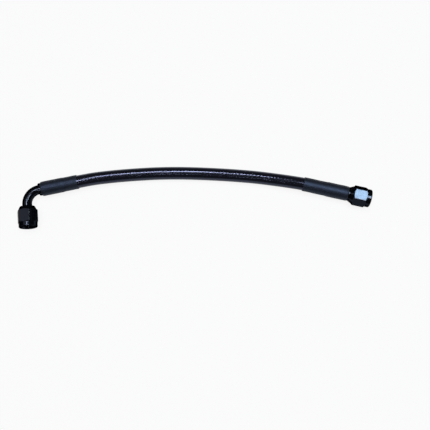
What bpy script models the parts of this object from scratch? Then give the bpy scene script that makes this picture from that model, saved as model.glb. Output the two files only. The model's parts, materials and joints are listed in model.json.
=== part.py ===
"""Flexible turbo oil feed line, lying on a flat surface as it would come to rest.

The line runs along X. A bent-tube fitting is on the -X end with its nut facing -Y, and a straight fitting
is on the +X end. Both nuts lie almost on a flat, turned a few degrees. Sizes are in millimetres, and the model is in metres.

Each fitting is drawn along its own axis, with height 0 at the mouth of its crimp collar, where the hose
goes in, and heights rising away from the hose. Each nut is drawn with height 0 at its back face.
"""

import math

import bmesh
import bpy
from mathutils import Matrix, Vector

MM = 0.001

# Clearances
SEAT_GAP = 0.3  # between end faces that meet
SLIP_FIT = 0.15  # around a piece pushed into or over another
SHRINK_FIT = 0.12  # under a heat-shrunk sleeve
SWIVEL_FIT = 0.3  # around the neck that a nut turns on

# Hose layers
HOSE_DIAMETER = 10.2
COVER_WALL = 0.8
BRAID_WALL = 0.55
LINER_WALL = 0.95

# Route of the hose from the elbow collar to the straight collar: x, y and how far it has risen from
# lying on the surface (0) to the height of the fittings (1)
ROUTE = [
    (-106.4, 13.6, 1.0),
    (-99.7, 15.0, 1.0),
    (-92.7, 16.5, 1.0),
    (-79.7, 19.1, 0.82),
    (-63.7, 21.3, 0.44),
    (-47.7, 22.9, 0.12),
    (-31.7, 23.9, 0.01),
    (-15.7, 24.2, 0.0),
    (0.3, 23.9, 0.0),
    (16.3, 23.2, 0.0),
    (32.3, 22.1, 0.08),
    (48.3, 20.5, 0.32),
    (64.3, 18.2, 0.66),
    (78.3, 15.9, 0.93),
    (86.3, 14.4, 1.0),
    (95.8, 12.2, 1.0),
    (105.5, 10.0, 1.0),
]
ELBOW_HEADING = 12.0  # degrees from +X in which the hose leaves the elbow fitting
STRAIGHT_HEADING = -13.0  # degrees from +X in which the straight fitting points

# Crimp collar, hooked over a groove in the stem
COLLAR_LENGTH = 15.5
COLLAR_WALL = 1.0
LIP_LENGTH = 1.7
LIP_DEPTH = 0.35
CRIMP_DEPTH = 0.12
CRIMP_LENGTH = 9.0

# Stem: nipple inside the liner, lock groove, land and shoulder
STEM_BORE = 3.4
NIPPLE_SETBACK = 1.5
BARB_COUNT = 3
BARB_DEPTH = 0.35
LAND_DIAMETER = 8.6
LAND_LENGTH = 2.0
ELBOW_SHOULDER_DIAMETER = 10.0
ELBOW_SHOULDER_LENGTH = 2.0
STRAIGHT_SHOULDER_DIAMETER = 11.0
STRAIGHT_SHOULDER_LENGTH = 1.0
SHOULDER_CHAMFER = 0.3

# Bent tube
TUBE_DIAMETER = 7.4
TUBE_BORE = 4.6
TUBE_RUN_IN = 0.3
BEND_RADIUS = 10.75
BEND_ANGLE = 85.1
NUT_STANDOFF = 2.3
STEM_SOCKET_DEPTH = 3.2

# Swivel nut, 9/16 in across flats
NUT_ACROSS_FLATS = 14.3
NUT_LENGTH = 16.6
NUT_BACK_DIAMETER = 11.6
NUT_BACK_CONE = 3.5
NUT_FRONT_COLLAR = 3.4
NUT_FRONT_CHAMFER = 1.1
NUT_COLLAR_CLEARANCE = 0.05
NUT_EDGE_CHAMFER = 0.45
NUT_BACK_WALL = 3.6
NUT_THREAD_BORE = 9.9
NUT_RELIEF_BORE = 10.3
NUT_MOUTH_BORE = 11.5
NUT_MOUTH_CHAMFER = 0.9
ELBOW_NUT_TURN = 5.0  # degrees that the nut has turned from lying on a flat
STRAIGHT_NUT_TURN = 4.0

# Seat nose that the nut pulls against a flared fitting
NOSE_DIAMETER = 9.6
NOSE_LENGTH = 6.0
NOSE_MOUTH = 8.8
NOSE_BORE = 4.4
NOSE_EDGE = 0.25
SEAT_HALF_ANGLE = 37.0
NOSE_SOCKET_DEPTH = 2.3

# Heat-shrink sleeves, from flush with the collar's back end to some way along the hose
SLEEVE_WALL = 0.4
SLEEVE_STEP = 2.2
SLEEVE_EDGE = 0.3
ELBOW_SLEEVE_ON_HOSE = 12.8
STRAIGHT_SLEEVE_ON_HOSE = 19.9

# Smoothness
TURNED_SIDES = 36
TUBE_SIDES = 20
HOSE_SIDES = 12
BEND_STEPS = 12
ROUTE_STEPS = 2

# Worked-out sizes
HOSE_RADIUS = HOSE_DIAMETER / 2
BRAID_RADIUS = HOSE_RADIUS - COVER_WALL - SLIP_FIT
LINER_RADIUS = BRAID_RADIUS - BRAID_WALL - SLIP_FIT
LINER_BORE_RADIUS = LINER_RADIUS - LINER_WALL
NUT_CORNER_RADIUS = NUT_ACROSS_FLATS / 2 / math.cos(math.radians(30))
LOWEST_CORNER = math.radians(30 - max(ELBOW_NUT_TURN, STRAIGHT_NUT_TURN))
FITTING_HEIGHT = NUT_CORNER_RADIUS * math.cos(LOWEST_CORNER)

COLLAR_BORE_RADIUS = BRAID_RADIUS + SLIP_FIT
COLLAR_RADIUS = COLLAR_BORE_RADIUS + COLLAR_WALL
SHOULDER_START = COLLAR_LENGTH + SEAT_GAP
LAND_START = SHOULDER_START - LAND_LENGTH
LIP_START = LAND_START - SEAT_GAP - LIP_LENGTH
GROOVE_START = LIP_START - SEAT_GAP
LIP_RADIUS = COLLAR_BORE_RADIUS - LIP_DEPTH
GROOVE_RADIUS = LIP_RADIUS - SEAT_GAP
HOSE_REACH = GROOVE_START - SEAT_GAP

NIPPLE_RADIUS = LINER_BORE_RADIUS - SLIP_FIT
ELBOW_SHOULDER_END = SHOULDER_START + ELBOW_SHOULDER_LENGTH
STRAIGHT_SHOULDER_END = SHOULDER_START + STRAIGHT_SHOULDER_LENGTH
STRAIGHT_NUT_START = STRAIGHT_SHOULDER_END + SEAT_GAP
SOCKET_RADIUS = TUBE_DIAMETER / 2 + SLIP_FIT

NUT_COLLAR_RADIUS = NUT_ACROSS_FLATS / 2 - NUT_COLLAR_CLEARANCE
NUT_NECK_BORE_RADIUS = TUBE_DIAMETER / 2 + SWIVEL_FIT
NOSE_START = NUT_BACK_WALL + SEAT_GAP
NOSE_END = NOSE_START + NOSE_LENGTH
SEAT_DEPTH = (NOSE_MOUTH - NOSE_BORE) / 2 / math.tan(math.radians(SEAT_HALF_ANGLE))

# Finishes: colour, metallic, roughness
BLACK_ANODISED = ((0.012, 0.012, 0.016, 1.0), 0.9, 0.28)
BARE_ALUMINIUM = ((0.62, 0.62, 0.64, 1.0), 1.0, 0.35)
BLACK_COVER = ((0.006, 0.006, 0.009, 1.0), 0.0, 0.16)
SHRINK_BLACK = ((0.020, 0.020, 0.028, 1.0), 0.0, 0.48)
STEEL_WIRE = ((0.55, 0.55, 0.56, 1.0), 1.0, 0.30)
WHITE_LINER = ((0.80, 0.79, 0.75, 1.0), 0.0, 0.40)


def clear_scene():
    for old in list(bpy.data.objects):
        bpy.data.objects.remove(old, do_unlink=True)


def finish_material(name, finish):
    color, metallic, roughness = finish
    material = bpy.data.materials.new(name)
    material.use_nodes = True
    shader = material.node_tree.nodes["Principled BSDF"]
    shader.inputs["Base Color"].default_value = color
    shader.inputs["Metallic"].default_value = metallic
    shader.inputs["Roughness"].default_value = roughness
    return material


def add_object(name, mesh, finish, parent=None):
    piece = bpy.data.objects.new(name, mesh)
    piece.data.materials.append(finish_material(name, finish))
    piece.parent = parent
    bpy.context.scene.collection.objects.link(piece)
    return piece


def add_axis(name, parent=None):
    axis = bpy.data.objects.new(name, None)
    axis.empty_display_size = HOSE_DIAMETER * MM
    axis.parent = parent
    bpy.context.scene.collection.objects.link(axis)
    return axis


def mesh_from(bm, name, sharp_angle=35.0):
    bmesh.ops.recalc_face_normals(bm, faces=bm.faces[:])
    mesh = bpy.data.meshes.new(name)
    bm.to_mesh(mesh)
    bm.free()
    mesh.shade_smooth()
    mesh.set_sharp_from_angle(angle=math.radians(sharp_angle))
    return mesh


def turned_mesh(name, profile):
    """Spin a closed outline of (radius, height) points round the Z axis."""
    bm = bmesh.new()
    corners = [bm.verts.new((radius * MM, 0.0, height * MM)) for radius, height in profile]
    edges = [bm.edges.new((a, b)) for a, b in zip(corners, corners[1:] + corners[:1])]
    bmesh.ops.spin(
        bm,
        geom=corners + edges,
        axis=(0, 0, 1),
        cent=(0, 0, 0),
        angle=math.tau,
        steps=TURNED_SIDES,
        use_merge=True,
    )
    bmesh.ops.remove_doubles(bm, verts=bm.verts[:], dist=0.001 * MM)
    return mesh_from(bm, name)


def pipe_mesh(name, path, outer_radius, inner_radius, sides, up):
    """Sweep an open-ended pipe wall along a path that stays square to the direction `up`."""
    bm = bmesh.new()
    rings = []
    for index, point in enumerate(path):
        before = path[max(index - 1, 0)]
        after = path[min(index + 1, len(path) - 1)]
        tangent = (after - before).normalized()
        sideways = tangent.cross(up).normalized()
        upright = sideways.cross(tangent)
        for radius in (outer_radius, inner_radius):
            ring = []
            for side in range(sides):
                turn = math.tau * (side + 0.5) / sides
                spoke = sideways * math.sin(turn) + upright * math.cos(turn)
                ring.append(bm.verts.new((point + spoke * radius) * MM))
            rings.append(ring)
    outer, inner = rings[0::2], rings[1::2]
    for wall in (outer, inner):
        for near, far in zip(wall, wall[1:]):
            join_rings(bm, near, far)
    join_rings(bm, outer[0], inner[0])
    join_rings(bm, outer[-1], inner[-1])
    return mesh_from(bm, name)


def join_rings(bm, near, far):
    for side in range(len(near)):
        following = (side + 1) % len(near)
        bm.faces.new((near[side], near[following], far[following], far[side]))


def hexagon_mesh(name, across_flats, height, turned):
    """A solid hexagonal bar on the Z axis, `turned` degrees from having two flats facing along X."""
    bm = bmesh.new()
    corner_radius = across_flats / 2 / math.cos(math.radians(30))
    turns = [math.radians(30 + turned + 60 * corner) for corner in range(6)]
    base = [bm.verts.new((math.cos(t) * corner_radius * MM, math.sin(t) * corner_radius * MM, -MM)) for t in turns]
    face = bm.faces.new(base)
    raised = bmesh.ops.extrude_face_region(bm, geom=[face])
    top = [item for item in raised["geom"] if isinstance(item, bmesh.types.BMVert)]
    bmesh.ops.translate(bm, verts=top, vec=(0, 0, (height + 2) * MM))
    mesh = mesh_from(bm, name)
    mesh.shade_flat()
    return mesh


def route_points():
    """The route's points in space, on a smooth curve through the chosen ones."""
    rise = FITTING_HEIGHT - HOSE_RADIUS
    chosen = [Vector((x, y, HOSE_RADIUS + lift * rise)) for x, y, lift in ROUTE]
    smooth = []
    for index in range(len(chosen) - 1):
        before = chosen[max(index - 1, 0)]
        start = chosen[index]
        end = chosen[index + 1]
        after = chosen[min(index + 2, len(chosen) - 1)]
        for step in range(ROUTE_STEPS):
            smooth.append(curve_point(before, start, end, after, step / ROUTE_STEPS))
    smooth.append(chosen[-1])
    return smooth


def curve_point(before, start, end, after, share):
    """A point between start and end on the Catmull-Rom curve through four points."""
    linear = end - before
    square = 2 * before - 5 * start + 4 * end - after
    cube = 3 * start - before - 3 * end + after
    return start + 0.5 * share * (linear + share * (square + share * cube))


def heading_vector(degrees):
    return Vector((math.cos(math.radians(degrees)), math.sin(math.radians(degrees)), 0))


def layer_path(reach):
    """Path of one hose layer that goes `reach` past the mouth of each collar."""
    points = route_points()
    first = points[0] - heading_vector(ELBOW_HEADING) * reach
    last = points[-1] + heading_vector(STRAIGHT_HEADING) * reach
    return [first] + points[1:-1] + [last]


def fitting_axis(name, mouth, outward_degrees):
    """An empty at a collar's mouth, with Z pointing away from the hose and X pointing up."""
    outward = heading_vector(outward_degrees)
    upward = Vector((0, 0, 1))
    axis = add_axis(name)
    turn = Matrix((upward, outward.cross(upward), outward)).transposed()
    axis.rotation_euler = turn.to_euler()
    axis.location = mouth * MM
    return axis


def barb_outline():
    """Outer side of the nipple, from its tip to the lock groove."""
    pitch = (GROOVE_START - NIPPLE_SETBACK) / BARB_COUNT
    outline = []
    for barb in range(BARB_COUNT):
        start = NIPPLE_SETBACK + barb * pitch
        outline.append((NIPPLE_RADIUS - BARB_DEPTH, start))
        outline.append((NIPPLE_RADIUS, start + pitch * 0.8))
        outline.append((NIPPLE_RADIUS, start + pitch * 0.9))
    outline.append((NIPPLE_RADIUS - BARB_DEPTH, GROOVE_START))
    return outline


def stem_outline(shoulder_radius, shoulder_end):
    """Outer side shared by both stems: nipple, lock groove, land and shoulder."""
    return barb_outline() + [
        (GROOVE_RADIUS, GROOVE_START),
        (GROOVE_RADIUS, LAND_START),
        (LAND_DIAMETER / 2, LAND_START),
        (LAND_DIAMETER / 2, SHOULDER_START),
        (shoulder_radius - SHOULDER_CHAMFER, SHOULDER_START),
        (shoulder_radius, SHOULDER_START + SHOULDER_CHAMFER),
        (shoulder_radius, shoulder_end - SHOULDER_CHAMFER),
        (shoulder_radius - SHOULDER_CHAMFER, shoulder_end),
    ]


def build_elbow_stem(axis):
    floor = ELBOW_SHOULDER_END - STEM_SOCKET_DEPTH
    socket = [
        (SOCKET_RADIUS, ELBOW_SHOULDER_END),
        (SOCKET_RADIUS, floor),
        (STEM_BORE / 2, floor),
        (STEM_BORE / 2, NIPPLE_SETBACK),
    ]
    profile = stem_outline(ELBOW_SHOULDER_DIAMETER / 2, ELBOW_SHOULDER_END) + socket
    add_object("elbow_stem", turned_mesh("elbow_stem", profile), BLACK_ANODISED, axis)


def nose_outline(base):
    """Outer side and mouth of a seat nose, in a nut whose back face is at the height `base`."""
    return [
        (NOSE_DIAMETER / 2, base + NOSE_START),
        (NOSE_DIAMETER / 2, base + NOSE_END - NOSE_EDGE),
        (NOSE_DIAMETER / 2 - NOSE_EDGE, base + NOSE_END),
        (NOSE_MOUTH / 2, base + NOSE_END),
    ]


def build_straight_stem(axis):
    """Nipple, shoulder, neck and seat nose, turned from one bar."""
    seat_bottom = STRAIGHT_NUT_START + NOSE_END - (NOSE_MOUTH - STEM_BORE) / (NOSE_MOUTH - NOSE_BORE) * SEAT_DEPTH
    neck = [
        (TUBE_DIAMETER / 2, STRAIGHT_SHOULDER_END),
        (TUBE_DIAMETER / 2, STRAIGHT_NUT_START + NOSE_START),
    ]
    bore = [
        (STEM_BORE / 2, seat_bottom),
        (STEM_BORE / 2, NIPPLE_SETBACK),
    ]
    outer = stem_outline(STRAIGHT_SHOULDER_DIAMETER / 2, STRAIGHT_SHOULDER_END)
    profile = outer + neck + nose_outline(STRAIGHT_NUT_START) + bore
    add_object("straight_stem", turned_mesh("straight_stem", profile), BLACK_ANODISED, axis)


def build_elbow_seat(nut_axis):
    """Seat nose brazed on the end of the bent tube."""
    floor = NOSE_START + NOSE_SOCKET_DEPTH
    socket = [
        (NOSE_BORE / 2, NOSE_END - SEAT_DEPTH),
        (NOSE_BORE / 2, floor),
        (SOCKET_RADIUS, floor),
        (SOCKET_RADIUS, NOSE_START),
    ]
    profile = nose_outline(0.0) + socket
    add_object("elbow_seat", turned_mesh("elbow_seat", profile), BLACK_ANODISED, nut_axis)


def bend_start():
    return ELBOW_SHOULDER_END + TUBE_RUN_IN


def bend_point(degrees):
    """Point on the bend, in the elbow fitting's own directions, `degrees` after it starts."""
    turn = math.radians(degrees)
    across = BEND_RADIUS * (math.cos(turn) - 1)
    along = bend_start() + BEND_RADIUS * math.sin(turn)
    return Vector((0, across, along))


def bend_exit_direction():
    turn = math.radians(BEND_ANGLE)
    return Vector((0, -math.sin(turn), math.cos(turn)))


def build_elbow_tube(axis):
    socket_floor = ELBOW_SHOULDER_END - STEM_SOCKET_DEPTH
    tube_end = NUT_STANDOFF + NOSE_START + NOSE_SOCKET_DEPTH - SEAT_GAP
    path = [Vector((0, 0, socket_floor + SEAT_GAP))]
    path += [bend_point(BEND_ANGLE * step / BEND_STEPS) for step in range(BEND_STEPS + 1)]
    path.append(bend_point(BEND_ANGLE) + bend_exit_direction() * tube_end)
    up = Vector((1, 0, 0))
    mesh = pipe_mesh("elbow_tube", path, TUBE_DIAMETER / 2, TUBE_BORE / 2, TUBE_SIDES, up)
    add_object("elbow_tube", mesh, BLACK_ANODISED, axis)


def build_collar(name, axis):
    """Ferrule squeezed on the braid, with a lip that hooks into the stem's groove."""
    crimp_start = (LIP_START - CRIMP_LENGTH) / 2
    crimp_end = crimp_start + CRIMP_LENGTH
    land_bore = LAND_DIAMETER / 2 + SLIP_FIT
    profile = [
        (COLLAR_BORE_RADIUS, 0.0),
        (COLLAR_RADIUS, 0.0),
        (COLLAR_RADIUS, crimp_start),
        (COLLAR_RADIUS - CRIMP_DEPTH, crimp_start + 2 * CRIMP_DEPTH),
        (COLLAR_RADIUS - CRIMP_DEPTH, crimp_end - 2 * CRIMP_DEPTH),
        (COLLAR_RADIUS, crimp_end),
        (COLLAR_RADIUS, COLLAR_LENGTH),
        (land_bore, COLLAR_LENGTH),
        (land_bore, LIP_START + LIP_LENGTH),
        (LIP_RADIUS, LIP_START + LIP_LENGTH),
        (LIP_RADIUS, LIP_START),
        (COLLAR_BORE_RADIUS, LIP_START),
    ]
    add_object(name, turned_mesh(name, profile), BARE_ALUMINIUM, axis)


def build_sleeve(name, axis, on_hose):
    """Heat-shrink sleeve that steps down from the collar to the hose."""
    over_hose = HOSE_RADIUS + SHRINK_FIT
    over_collar = COLLAR_RADIUS + SHRINK_FIT
    profile = [
        (over_hose, -on_hose),
        (over_hose + SLEEVE_WALL - SLEEVE_EDGE, -on_hose),
        (over_hose + SLEEVE_WALL, SLEEVE_EDGE - on_hose),
        (over_hose + SLEEVE_WALL, -SLEEVE_STEP - SEAT_GAP),
        (over_collar + SLEEVE_WALL, -SEAT_GAP),
        (over_collar + SLEEVE_WALL, COLLAR_LENGTH - SLEEVE_EDGE),
        (over_collar + SLEEVE_WALL - SLEEVE_EDGE, COLLAR_LENGTH),
        (over_collar, COLLAR_LENGTH),
        (over_collar, -SEAT_GAP),
        (over_hose, -SLEEVE_STEP - SEAT_GAP),
    ]
    add_object(name, turned_mesh(name, profile), SHRINK_BLACK, axis)


def nut_profile():
    """Outline of the nut as turned, before its six flats are milled."""
    hex_end = NUT_LENGTH - NUT_FRONT_COLLAR - NUT_FRONT_CHAMFER
    outside = [
        (NUT_BACK_DIAMETER / 2, 0.0),
        (NUT_CORNER_RADIUS, NUT_BACK_CONE),
        (NUT_CORNER_RADIUS, hex_end),
        (NUT_COLLAR_RADIUS, hex_end + NUT_FRONT_CHAMFER),
        (NUT_COLLAR_RADIUS, NUT_LENGTH - NUT_EDGE_CHAMFER),
        (NUT_COLLAR_RADIUS - NUT_EDGE_CHAMFER, NUT_LENGTH),
    ]
    relief_end = NOSE_END + SWIVEL_FIT
    relief_taper = (NUT_RELIEF_BORE - NUT_THREAD_BORE) / 2
    inside = [
        (NUT_MOUTH_BORE / 2, NUT_LENGTH),
        (NUT_THREAD_BORE / 2, NUT_LENGTH - NUT_MOUTH_CHAMFER),
        (NUT_THREAD_BORE / 2, relief_end + relief_taper),
        (NUT_RELIEF_BORE / 2, relief_end),
        (NUT_RELIEF_BORE / 2, NUT_BACK_WALL),
        (NUT_NECK_BORE_RADIUS, NUT_BACK_WALL),
        (NUT_NECK_BORE_RADIUS, 0.0),
    ]
    return outside + inside


def build_nut(name, nut_axis, turned):
    """Swivel nut: a turned blank whose flats come from a hexagonal bar."""
    nut = add_object(name, turned_mesh(name, nut_profile()), BLACK_ANODISED, nut_axis)
    bar_mesh = hexagon_mesh(name + "_bar", NUT_ACROSS_FLATS, NUT_LENGTH, turned)
    bar = add_object(name + "_bar", bar_mesh, BLACK_ANODISED, nut_axis)
    bar.hide_render = True
    bar.display_type = "WIRE"
    flats = nut.modifiers.new("flats", "BOOLEAN")
    flats.operation = "INTERSECT"
    flats.object = bar


def build_hose():
    """Three layers: the inner two run under the collars, the cover stops at them."""
    up = Vector((0, 0, 1))
    layers = [
        ("hose_liner", LINER_RADIUS, LINER_WALL, HOSE_REACH, WHITE_LINER),
        ("hose_braid", BRAID_RADIUS, BRAID_WALL, HOSE_REACH, STEEL_WIRE),
        ("hose_cover", HOSE_RADIUS, COVER_WALL, -SEAT_GAP, BLACK_COVER),
    ]
    for name, radius, wall, reach, finish in layers:
        mesh = pipe_mesh(name, layer_path(reach), radius, radius - wall, HOSE_SIDES, up)
        add_object(name, mesh, finish)


def build_elbow_end(mouth):
    axis = fitting_axis("elbow_end", mouth, ELBOW_HEADING + 180)
    nut_axis = add_axis("elbow_nut_axis", axis)
    nut_axis.location = (bend_point(BEND_ANGLE) + bend_exit_direction() * NUT_STANDOFF) * MM
    nut_axis.rotation_euler = (math.radians(BEND_ANGLE), 0, 0)
    build_collar("elbow_collar", axis)
    build_sleeve("elbow_sleeve", axis, ELBOW_SLEEVE_ON_HOSE)
    build_elbow_stem(axis)
    build_elbow_tube(axis)
    build_elbow_seat(nut_axis)
    build_nut("elbow_nut", nut_axis, ELBOW_NUT_TURN)


def build_straight_end(mouth):
    axis = fitting_axis("straight_end", mouth, STRAIGHT_HEADING)
    nut_axis = add_axis("straight_nut_axis", axis)
    nut_axis.location = Vector((0, 0, STRAIGHT_NUT_START)) * MM
    build_collar("straight_collar", axis)
    build_sleeve("straight_sleeve", axis, STRAIGHT_SLEEVE_ON_HOSE)
    build_straight_stem(axis)
    build_nut("straight_nut", nut_axis, STRAIGHT_NUT_TURN)


def main():
    clear_scene()
    points = route_points()
    build_hose()
    build_elbow_end(points[0])
    build_straight_end(points[-1])
    bpy.context.view_layer.update()


main()
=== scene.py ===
"""Looks of the turbo oil feed line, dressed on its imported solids.

Sizes are in millimetres unless a name says otherwise, and meshes are written in metres. Each fitting is
drawn along its own axis, with height 0 at the mouth of its crimp collar and heights rising away from the
hose. Each nut is drawn with height 0 at its back face.
"""

import json
import math

import bmesh
import bpy
import numpy as np
from mathutils import Matrix, Vector


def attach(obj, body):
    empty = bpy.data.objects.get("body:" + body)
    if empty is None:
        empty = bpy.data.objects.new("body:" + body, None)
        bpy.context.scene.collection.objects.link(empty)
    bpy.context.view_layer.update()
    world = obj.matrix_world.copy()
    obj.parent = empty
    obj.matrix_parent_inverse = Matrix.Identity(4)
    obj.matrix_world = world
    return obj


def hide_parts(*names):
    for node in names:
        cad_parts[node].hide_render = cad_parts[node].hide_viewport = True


MM = 0.001
MICRON = 0.000001

# Camera and studio, in metres and degrees
VIEW_TARGET = Vector((0.0157, -0.0091, 0.0))
VIEW_HEIGHT = 0.420
VIEW_ELEVATION = 77.0
VIEW_ANGLE = 43.5
FLOOR_SIZE = 6.0
FLOOR_COLOR = (0.66, 0.66, 0.66, 1.0)
FLOOR_GLOW_SHARE = 0.88
GLOW_IN_GLOSS = 0.10
WORLD_STRENGTH = 0.09
WHITE = (1.0, 1.0, 1.0)
WINDOW_BLUE = (0.72, 0.95, 1.0)
SOFTBOX_HEIGHT = 1.45
# Softboxes: name, x, y, size along X, size across it, watts and colour
SOFTBOXES = [
    ("side_softbox", -1.07, 0.30, 0.45, 0.45, 0.7, WHITE),
    ("far_left_softbox", -0.58, 0.05, 0.14, 0.26, 1.0, WHITE),
    ("left_softbox", -0.36, -0.08, 0.20, 0.26, 3.9, WHITE),
    ("middle_softbox", -0.225, 0.33, 0.11, 0.22, 1.7, WHITE),
    ("back_softbox", -0.065, 0.46, 0.14, 0.22, 3.6, WHITE),
    ("right_softbox", 0.38, -0.13, 0.25, 0.40, 8.0, WHITE),
    ("window_softbox", 0.47, 0.19, 0.16, 0.14, 3.8, WINDOW_BLUE),
    ("front_softbox", -0.32, -0.95, 0.12, 0.25, 1.5, WHITE),
]

# Hose, as its solid: x, y and the share of the way up to the fittings' height
HOSE_DIAMETER = 10.2
COVER_WALL = 0.8
END_GAP = 0.3
ROUTE = [
    (-106.4, 13.6, 1.0),
    (-99.7, 15.0, 1.0),
    (-92.7, 16.5, 1.0),
    (-79.7, 19.1, 0.82),
    (-63.7, 21.3, 0.44),
    (-47.7, 22.9, 0.12),
    (-31.7, 23.9, 0.01),
    (-15.7, 24.2, 0.0),
    (0.3, 23.9, 0.0),
    (16.3, 23.2, 0.0),
    (32.3, 22.1, 0.08),
    (48.3, 20.5, 0.32),
    (64.3, 18.2, 0.66),
    (78.3, 15.9, 0.93),
    (86.3, 14.4, 1.0),
    (95.8, 12.2, 1.0),
    (105.5, 10.0, 1.0),
]
ROUTE_STEPS = 6
ELBOW_HEADING = 12.0
STRAIGHT_HEADING = -13.0

# Braid under the hose's cover
STRANDS_EACH_WAY = 12
STRAND_ADVANCE = 2.7
WIRES_PER_STRAND = 5
BRAID_RELIEF = 0.015
STRAND_CROWN = 2.2
WEAVE_LIFT = 0.5
CROSSING_BLEND = 0.18
FIRST_STRAND = 100.0
VALLEY_FLOOR = -0.15
VALLEY_RIM = 0.25
HOSE_RINGS = 760
HOSE_SIDES = 120
BORE_RINGS = 40

# Crimp collars and the sleeves over them
COLLAR_LENGTH = 15.5
SLEEVE_OVER_COLLAR = 5.82
SLEEVE_OVER_HOSE = 5.62
SLEEVE_WALL = 0.4
SLEEVE_STEP = 2.2
ELBOW_SLEEVE_ON_HOSE = 12.8
STRAIGHT_SLEEVE_ON_HOSE = 19.9
SLEEVE_RINGS = 130
SLEEVE_LUMPS = (0.02, 0.015, 0.012, 0.01)
LUMPS_ROUND = (1, 4)
LUMP_LENGTHS = (5, 14)
ELBOW_SLEEVE_SEED = 3
STRAIGHT_SLEEVE_SEED = 8
SLEEVE_LIP_DEPTH = 0.16
SLEEVE_LIP_LENGTH = 0.9
SLEEVE_END_ROUNDING = 0.1
CRIMP_START = 1.5
CRIMP_END = 11.5
CRIMP_FADE = 1.0
CRIMP_JAWS = 8
CRIMP_MARK = 0.02

# Stems, as their solids but with crisper shoulders
STEM_BORE_RADIUS = 1.7
NIPPLE_START = 1.5
NIPPLE_RADIUS = 2.35
BARB_DEPTH = 0.35
BARB_COUNT = 3
BARB_CREST = (0.8, 0.9)
GROOVE_START = 11.5
GROOVE_RADIUS = 3.65
LAND_START = 13.8
LAND_RADIUS = 4.3
SHOULDER_START = 15.8
SHOULDER_CHAMFER = 0.15
ELBOW_SHOULDER_RADIUS = 5.0
ELBOW_SHOULDER_END = 17.8
STRAIGHT_SHOULDER_RADIUS = 5.5
STRAIGHT_SHOULDER_END = 16.8
STRAIGHT_NUT_START = 17.1
SOCKET_RADIUS = 3.85
STEM_SOCKET_DEPTH = 3.2

# Seat nose inside each nut
NOSE_RADIUS = 4.8
NOSE_START = 3.9
NOSE_END = 9.9
NOSE_EDGE = 0.25
NOSE_MOUTH_RADIUS = 4.4
NOSE_BORE_RADIUS = 2.2
NOSE_SOCKET_DEPTH = 2.3
SEAT_HALF_ANGLE = 37.0

# Bent tube
TUBE_DIAMETER = 7.4
TUBE_BORE = 4.6
TUBE_START = 14.9
BEND_START = 18.1
BEND_RADIUS = 10.75
BEND_ANGLE = 85.1
TUBE_PAST_BEND = 8.2
BEND_STEPS = 48
TUBE_SIDES = 72
TUBE_LEAD_IN = 0.5
TUBE_SHARP_ANGLE = 50.0

# Swivel nuts
NUT_ACROSS_FLATS = 14.3
NUT_CORNER_RADIUS = NUT_ACROSS_FLATS / math.sqrt(3)
NUT_LENGTH = 16.6
NUT_BACK_RADIUS = 5.8
NUT_BACK_RIM = (7.0, 2.6)
NUT_HEX_START = 3.5
NUT_HEX_END = 12.1
NUT_COLLAR_START = 13.2
NUT_COLLAR_RADIUS = 7.1
NUT_EDGE_CHAMFER = 0.45
NUT_BACK_WALL = 3.6
NUT_NECK_BORE = 4.0
NUT_RELIEF_RADIUS = 5.15
NUT_RELIEF_END = 10.2
NUT_MOUTH_RADIUS = 5.75
NUT_MOUTH_CHAMFER = 0.9
THREAD_CREST_RADIUS = 4.95
THREAD_DEPTH = 0.55
THREAD_PITCH = 1.27
THREAD_STEEPNESS = 2.5
THREAD_RUN_OUT = 0.5 * THREAD_PITCH
THREAD_ENTRY = 0.2
NUT_WALL_MIDDLE = NUT_RELIEF_RADIUS + 0.3
NUT_FACE_MARGIN = 0.05
NUT_COLLAR_MARGIN = 0.1
NUT_MOUTH_MARGIN = 0.01
HEX_SHARPNESS = 70
SIDES_PER_FLAT = 24
MILLED_BLEND = 0.035
MILLED_REACH = 0.05
CREASE_WIDTH = 0.18
CORNER_WIDTH = 0.16
CORNER_FADE = 0.1
ELBOW_NUT_TURN = 5.0
STRAIGHT_NUT_TURN = 4.0
LOWEST_CORNER = math.radians(30 - max(ELBOW_NUT_TURN, STRAIGHT_NUT_TURN))
FITTING_HEIGHT = NUT_CORNER_RADIUS * math.cos(LOWEST_CORNER)

# Turned outlines
EDGE_EASING = 0.12
EASING_LIMIT = 0.45
EASING_STEPS = 3
OUTLINE_SPACING = 0.4
NUT_OUTLINE_SPACING = 0.16
LATHE_SIDES = 96

# Shared effects of the finishes
CLOUD_RANGE = (0.3, 0.7)
RUB_FADE = 0.25

# Colours of the finishes, as red, green, blue and alpha
ANODISED_TINT = (0.12, 0.08, 0.03, 1.0)
ANODISED = ((0.0155, 0.0180, 0.0250, 1.0), (0.0175, 0.0200, 0.0280, 1.0))
ANODISED_RUBBED = (0.09, 0.10, 0.12, 1.0)
SHRINK_TINT = (0.42, 0.58, 1.0, 1.0)
SHRINK = ((0.005, 0.0055, 0.007, 1.0), (0.007, 0.0075, 0.010, 1.0))
SHRINK_CUT = (0.022, 0.024, 0.028, 1.0)
COVER_TINT = (0.57, 0.63, 1.0, 1.0)
COVER = ((0.0028, 0.0028, 0.0048, 1.0), (0.0040, 0.0040, 0.0062, 1.0))
# Painted shade: the cover's colour down in the valleys between strands
COVER_VALLEY_SHADE = (0.0012, 0.0012, 0.0020, 1.0)
ALUMINIUM = ((0.56, 0.56, 0.58, 1.0), (0.66, 0.66, 0.68, 1.0))
# Bright wire, then the painted shade it turns to between strands
WIRE_AND_VALLEY_SHADE = ((0.58, 0.58, 0.59, 1.0), (0.16, 0.16, 0.17, 1.0))
LINER = ((0.77, 0.76, 0.71, 1.0), (0.83, 0.82, 0.79, 1.0))


def heading_vector(degrees):
    return Vector((math.cos(math.radians(degrees)), math.sin(math.radians(degrees)), 0))


def axis_matrix(origin, outward):
    """Z along a fitting's axis and X upright, as in the solids; origin in metres."""
    outward = Vector(outward).normalized()
    upward = Vector((0, 0, 1))
    turn = Matrix((upward, outward.cross(upward), outward)).transposed()
    return Matrix.Translation(origin) @ turn.to_4x4()


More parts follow.
